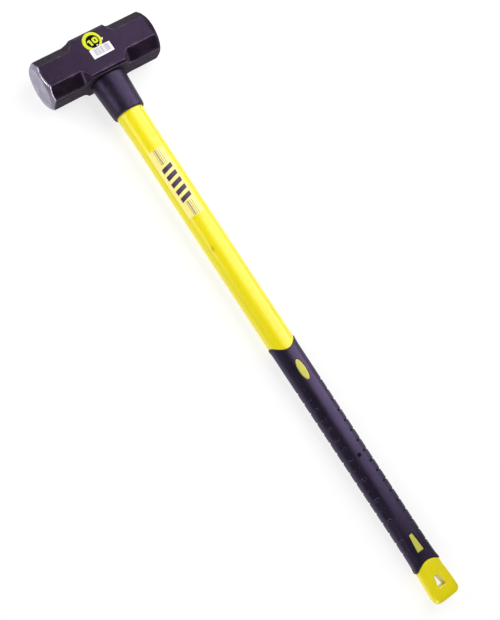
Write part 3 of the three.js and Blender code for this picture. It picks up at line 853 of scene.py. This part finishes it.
def make_collar(material):
    top, bottom = COLLAR[0, 0], COLLAR[-1, 0]
    stops = [*np.linspace(top, -36, 12), *range(-38, -85, -3), *np.linspace(-85, bottom, 14)]
    outer = [skin(COLLAR, y) for y in stops]
    bore_p, bore_q = (v + 0.12 for v in SLEEVE)
    lip = [ring(bottom + rise, bore_p + wide, bore_q + wide, 2.1) for rise, wide in ((0, 0.8), (0.1, 0.3))]
    bore = [ring(y, bore_p, bore_q, 2.1) for y in (bottom + 0.5, -75, -55, -36)]
    piece = new_piece("overstrike_collar", [(*tube([*outer, *lip, *bore], loop=True), 0)], [material])
    smooth(piece, 42)
    stand_for(piece, "black_plastic", "collar")


def make_core(material):
    sawn_end = ((0.3, 0.4), (0.7, 0.1), (0.95, 0), (0.99, 0.4))  # share of the radius, dip
    rows = [ring(TENON_TOP - 0.25 * dip, CORE_P * share, CORE_Q * share) for share, dip in sawn_end]
    rows += [ring(y, CORE_P, CORE_Q) for y in (30.7, 10, -60, *range(-120, -800, -80), CORE_END)]
    piece = new_piece("fibreglass_core", [(*tube(rows), 0)], [material])
    smooth(piece)
    stand_for(piece, "fibreglass", "handle_core")


# ------------------------------------------------------------------ labels
def turned(points, centre, degrees):
    c, s = math.cos(math.radians(degrees)), math.sin(math.radians(degrees))
    return np.array(centre) + np.array(points, float) @ np.array([(c, s), (-s, c)])


def rectangle(x0, x1, y0, y1):
    return [(x0, y0), (x1, y0), (x1, y1), (x0, y1)]


def circle_line(radius, count=96):
    a = 2 * np.pi * np.arange(count) / count
    return np.column_stack([radius * np.cos(a), radius * np.sin(a)])


def barcode_place():
    """Middle, size and turn of the barcode label."""
    low, high = box_mm("barcode_label")
    return (low + high)[:2] / 2, BARCODE_SIZE, BARCODE_TURN


def clear_of_barcode(outline):
    """Pulls the points of an outline that the barcode label covers up to that label's edge."""
    middle, size, turn = barcode_place()
    local = turned(outline - middle, (0, 0), -turn)
    local[:, 1] = np.maximum(local[:, 1], size[1] / 2 + 0.15)
    return turned(local, middle, turn)


def make_weight_label(film, ink, white):
    low, high = box_mm("weight_label")
    radius = (high[0] - low[0]) / 2
    middle = np.array([(high[0] + low[0]) / 2, high[1] - radius])
    z = HALF + 0.02

    def at(shape):
        return turned(shape, middle + DISC_SHIFT, DISC_TURN)

    disc = plate(clear_of_barcode(circle_line(radius) + middle), z, z + 0.12)
    black = plate(clear_of_barcode(at(circle_line(DISC_RADIUS))), z + 0.06, z + 0.2)
    one = [(-5.5, -4.8), (-2.1, -4.8), (-2.1, 4.6), (-5.2, 4.6), (-7.3, 3.5), (-7.3, 1.5), (-5.5, 2.1)]
    zero_out = rounded(rectangle(-0.2, 8.0, -4.8, 4.4), 3.4, 9)
    zero_in = rounded(rectangle(2.9, 4.9, -2.0, 1.6), 0.95, 9)
    dot = rounded(rectangle(0.5, 3.2, -8.6, -6.8), 0.8)
    nick = [(13.0, 12.6), (14.1, 14.6), (16.9, 12.9), (14.4, 9.9)]
    parts = [(*disc, 0), (*black, 1), (*plate(at(one), z + 0.15, z + 0.26), 0)]
    parts.append((*plate(at(zero_out), z + 0.15, z + 0.26, at(zero_in)), 0))
    parts.append((*plate(at(dot), z + 0.15, z + 0.26), 2))
    parts.append((*plate(rounded(nick, 0.3), z, z + 0.1), 2))
    piece = new_piece("weight_label_print", parts, [film, ink, white])
    stand_for(piece, "weight_label_film", "weight_label")


def make_barcode_label(paper, ink):
    middle, (width, depth), turn = barcode_place()
    z = HALF + 0.04

    def at(shape):
        return turned(shape, middle, turn)

    sheet = rounded(rectangle(-width / 2, width / 2, -depth / 2, depth / 2), 0.5)
    parts = [(*plate(at(sheet), z, z + 0.3), 0)]
    chance = np.random.default_rng(7)
    x = -10.6
    while x < 12.6:
        bar = float(chance.choice([0.5, 0.8, 1.0]))
        parts.append((*plate(at(rectangle(x, x + bar, -4.6, 6.2)), z + 0.25, z + 0.36), 1))
        x += bar + float(chance.choice([0.7, 0.9, 1.1]))
    piece = new_piece("barcode_label_print", parts, [paper, ink])
    stand_for(piece, "label_paper", "barcode_label")


def shaft_patch(x, y, low, high):
    """Curved sheet that lies on the shaft over a grid of x and y."""
    p, q, n = between(JACKET, y)
    turn = np.arctan2(jacket_top(x, y), x)

    def at(lift):
        px, pz = section(p + lift, q + lift, n, turn)
        return np.stack([px, y, pz], -1)

    return slab(at(low), at(high))


def make_shaft_label(film, stripe, ink):
    low, high = box_mm("shaft_label")
    xs = np.linspace(low[0] + 0.1, high[0] - 0.1, 34)

    def grid(x, y):
        return np.meshgrid(x, y, indexing="ij")

    parts = [(*shaft_patch(*grid(xs, np.linspace(high[1], low[1], 60)), 0.04, 0.3), 0)]
    for x, width in ((0.2, 0.8), (-2.7, 0.9), (-5.6, 2.1), (-8.0, 0.7)):
        for y0, y1 in ((high[1] - 0.6, -181), (-241, low[1] + 0.6)):
            line = grid(np.linspace(x - width / 2, x + width / 2, 3), np.linspace(y0, y1, 14))
            parts.append((*shaft_patch(*line, 0.24, 0.34), 1))
    for k in range(BAR_COUNT):
        x, y = grid(np.linspace(-11.5, 4.6, 22), np.linspace(-3.3, 3.3, 5))
        y = y + BAR_FIRST - BAR_PITCH * k + BAR_SLANT * (x + 3.5)
        parts.append((*shaft_patch(x, y, 0.24, 0.36), 2))
    piece = new_piece("shaft_label_print", parts, [film, stripe, ink])
    smooth(piece, 30)
    stand_for(piece, "clear_label_film", "shaft_label")


# ------------------------------------------------------------------ floor, light and camera
def rest_slope():
    """Where the floor turns (y, metres) and its tilt, so that eye block and grip both touch it."""
    pivot = -(HALF - BLOCK_CUT)
    slopes = []
    for node in ("collar", "handle_jacket", "grip"):
        points = np.array([v.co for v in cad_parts[node].data.vertices]) / MM
        points = points[points[:, 1] < pivot - 10]
        slopes.append((points[:, 2] / (pivot - points[:, 1])).min())
    return pivot * MM, math.atan(min(slopes))


def make_floor():
    """Pale floor with a painted pool of light: it glows evenly round the tool and fades further out, soonest
    beyond the head.
    """
    pivot, angle = rest_slope()
    bpy.ops.mesh.primitive_plane_add(size=14, location=(0, pivot, -0.0002), rotation=(-angle, 0, 0))
    floor = bpy.context.object
    floor.name = "floor"
    look = Look("pale_floor", Roughness=0.9, Specular_IOR_Level=0.1)
    tone = look.noise(6, detail=2)
    # Painted pool of light: the floor's glow and colour fall off away from the middle of the handle.
    painted_light_pool = look.span(look.distance((0.03, -0.42, 0)), 0.6, 1.4, 1.0, 0.5)
    far = look.node("ShaderNodeVectorMath", {0: look.place, 1: (0.454, 0.891, 0)}, operation="DOT_PRODUCT")
    painted_light_pool = look.maths("MULTIPLY", painted_light_pool, look.span(far.outputs["Value"], 0.14, 0.45, 1.0, 0.5))
    colour = look.mix(look.span(tone, 0.3, 0.7), (0.25, 0.25, 0.253), (0.265, 0.265, 0.268))
    look.set("Base Color", look.mix(painted_light_pool, (0.2, 0.2, 0.2), colour))
    look.shader.inputs["Emission Color"].default_value = (1, 1, 1, 1)
    look.set("Emission Strength", look.maths("MULTIPLY", painted_light_pool, 0.6))
    floor.data.materials.append(look.material)


def add_area(name, place, target, size, radiance, colour=(1, 1, 1)):
    """Soft rectangle of light that gives the same brightness all over."""
    light = bpy.data.lights.new(name, "AREA")
    light.shape = "RECTANGLE"
    light.size, light.size_y = size
    light.energy = radiance * math.pi * size[0] * size[1]
    light.color = colour
    lamp = bpy.data.objects.new(name, light)
    lamp.location = place
    lamp.rotation_euler = (Vector(target) - Vector(place)).to_track_quat("-Z", "Y").to_euler()
    lamp.visible_camera = False
    bpy.context.scene.collection.objects.link(lamp)


def make_world():
    world = bpy.data.worlds.new("studio")
    bpy.context.scene.world = world
    world.use_nodes = True
    sky = world.node_tree.nodes["Background"]
    sky.inputs["Color"].default_value = (0.96, 0.95, 1.0, 1)
    sky.inputs["Strength"].default_value = 0.055


def make_camera():
    """Looks down on the middle of the handle, turned so that the handle runs across the picture."""
    azimuth, elevation, roll = (math.radians(v) for v in (-74.970, 71.322, 42.484))
    distance = 1.51247
    target = Vector((-0.01101, -0.41185, AXIS_Z * MM))
    flat = math.cos(elevation)
    back = Vector((math.sin(azimuth) * flat, -math.cos(azimuth) * flat, math.sin(elevation)))
    level = Vector((math.cos(azimuth), math.sin(azimuth), 0))
    upright = back.cross(level)
    right = level * math.cos(roll) + upright * math.sin(roll)
    up = upright * math.cos(roll) - level * math.sin(roll)
    camera = bpy.data.objects.new("camera", bpy.data.cameras.new("camera"))
    camera.data.sensor_width = 36.0
    camera.data.lens = 64.358
    turn = Matrix((right, up, back)).transposed().to_4x4()
    camera.matrix_world = Matrix.Translation(target + back * distance) @ turn
    bpy.context.scene.collection.objects.link(camera)
    bpy.context.scene.camera = camera


def make_lights():
    """Two long lights over the handle, a low one for the used face's edge, and two fills from the left."""
    violet_white = (1.0, 0.985, 1.0)
    add_area("key", (0.44, -0.14, 0.93), (0, -0.14, 0.03), (1.48, 0.72), 2.0, violet_white)
    add_area("side", (0.87, -0.14, 0.53), (0, -0.14, 0.03), (1.3, 0.45), 2.9, violet_white)
    add_area("kicker", (-1.15, 0.17, 0.62), (-0.09, 0.0, 0.05), (0.6, 0.6), 2.6)
    add_area("fill_low", (-1.0, -2.1, 0.85), (0, -0.4, 0), (1.1, 1.1), 4.4)
    add_area("fill_high", (-1.1, 1.25, 0.8), (0, -0.3, 0), (1.1, 1.1), 3.8)


def set_exposure():
    view = bpy.context.scene.view_settings
    view.view_transform = "Standard"
    view.exposure = 0.35
    view.gamma = 0.85


make_camera()
make_world()
make_lights()
make_floor()
set_exposure()

make_head(lacquer(), ground_steel())
make_resin(resin())
make_jacket(
    yellow("yellow_moulded_plastic", (0.82, 0.73, 0.003), (0.79, 0.695, 0.002), 0.3, 0.42),
    yellow("yellow_pad_plastic", (0.6, 0.57, 0.1), (0.53, 0.52, 0.06), 0.5, 0.62),
)
make_grip(rubber())
make_collar(black_plastic())
make_core(fibreglass())
lime = printed("label_lime_ink", (0.66, 0.7, 0.035), (0.61, 0.66, 0.025), 0.42)
black_ink = printed("label_black_ink", (0.003, 0.003, 0.0025), (0.006, 0.0055, 0.005), 0.5, shine=0.1)
pale_ink = printed("label_pale_ink", (0.75, 0.74, 0.66), (0.68, 0.67, 0.6), 0.45)
make_weight_label(lime, black_ink, pale_ink)
paper = printed("label_paper", (0.9, 0.88, 0.93), (0.86, 0.84, 0.9), 0.6)
bar_ink = printed("barcode_ink", (0.3, 0.29, 0.34), (0.36, 0.35, 0.4), 0.6)
make_barcode_label(paper, bar_ink)
film = printed("label_cream_film", (0.90, 0.82, 0.33), (0.88, 0.8, 0.28), 0.3, grain=300)
stripe_ink = printed("label_stripe_ink", (0.42, 0.34, 0.22), (0.48, 0.4, 0.25), 0.4)
violet_ink = printed("label_violet_ink", (0.085, 0.06, 0.1), (0.11, 0.08, 0.125), 0.35)
make_shaft_label(film, stripe_ink, violet_ink)
